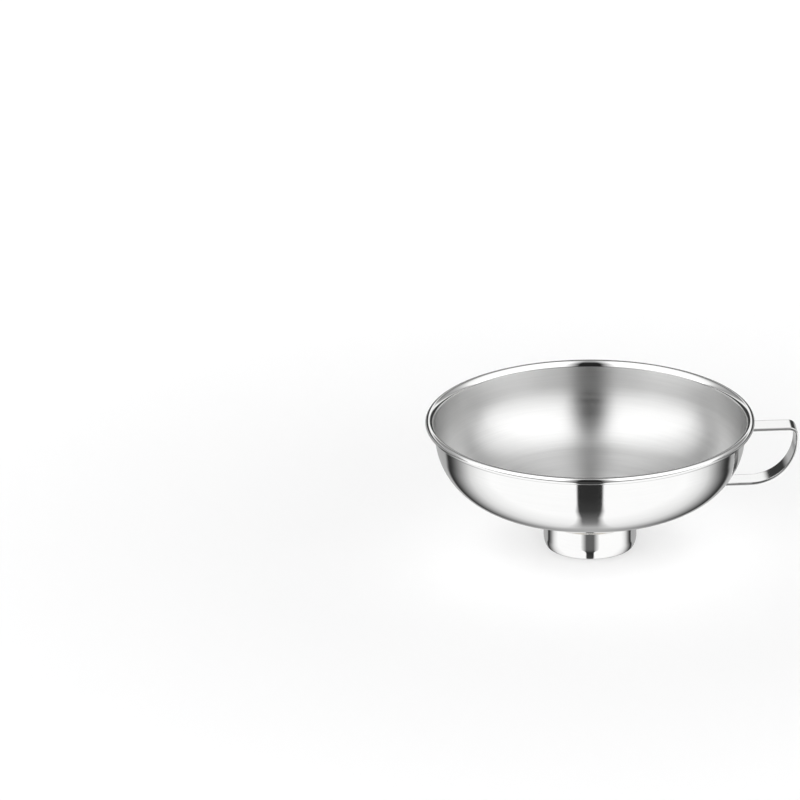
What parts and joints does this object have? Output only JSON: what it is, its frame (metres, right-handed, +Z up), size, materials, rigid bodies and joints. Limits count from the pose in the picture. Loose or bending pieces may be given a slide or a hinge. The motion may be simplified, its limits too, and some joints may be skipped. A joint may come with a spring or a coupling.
{
  "type": "canning funnel",
  "caption": "Wide round canning funnel with a shallow rolled-rim bowl, a short wide spout and a bent strap loop handle at the side.",
  "frame": {"origin": "on the funnel's axis, in the plane of the flat ring that the spout stands on", "axes": "+Z up along the funnel's axis from the spout to the rim, +X towards the handle"},
  "size_m": [0.1584, 0.14, 0.0573],
  "materials": {
    "bowl_steel": "mirror-polished outside, fine circular brushing inside",
    "spout_steel": "polished",
    "weld_steel": "dressed weld, satin",
    "strap_steel": "polished",
    "spot_weld_steel": "fused steel between two sheets"
  },
  "bodies": {
    "root": {"funnel_bowl": "bowl_steel", "spout_collar": "spout_steel", "spout_weld": "weld_steel", "handle_strap": "strap_steel", "strap_spot_welds": "spot_weld_steel"}
  },
  "joints": []
}
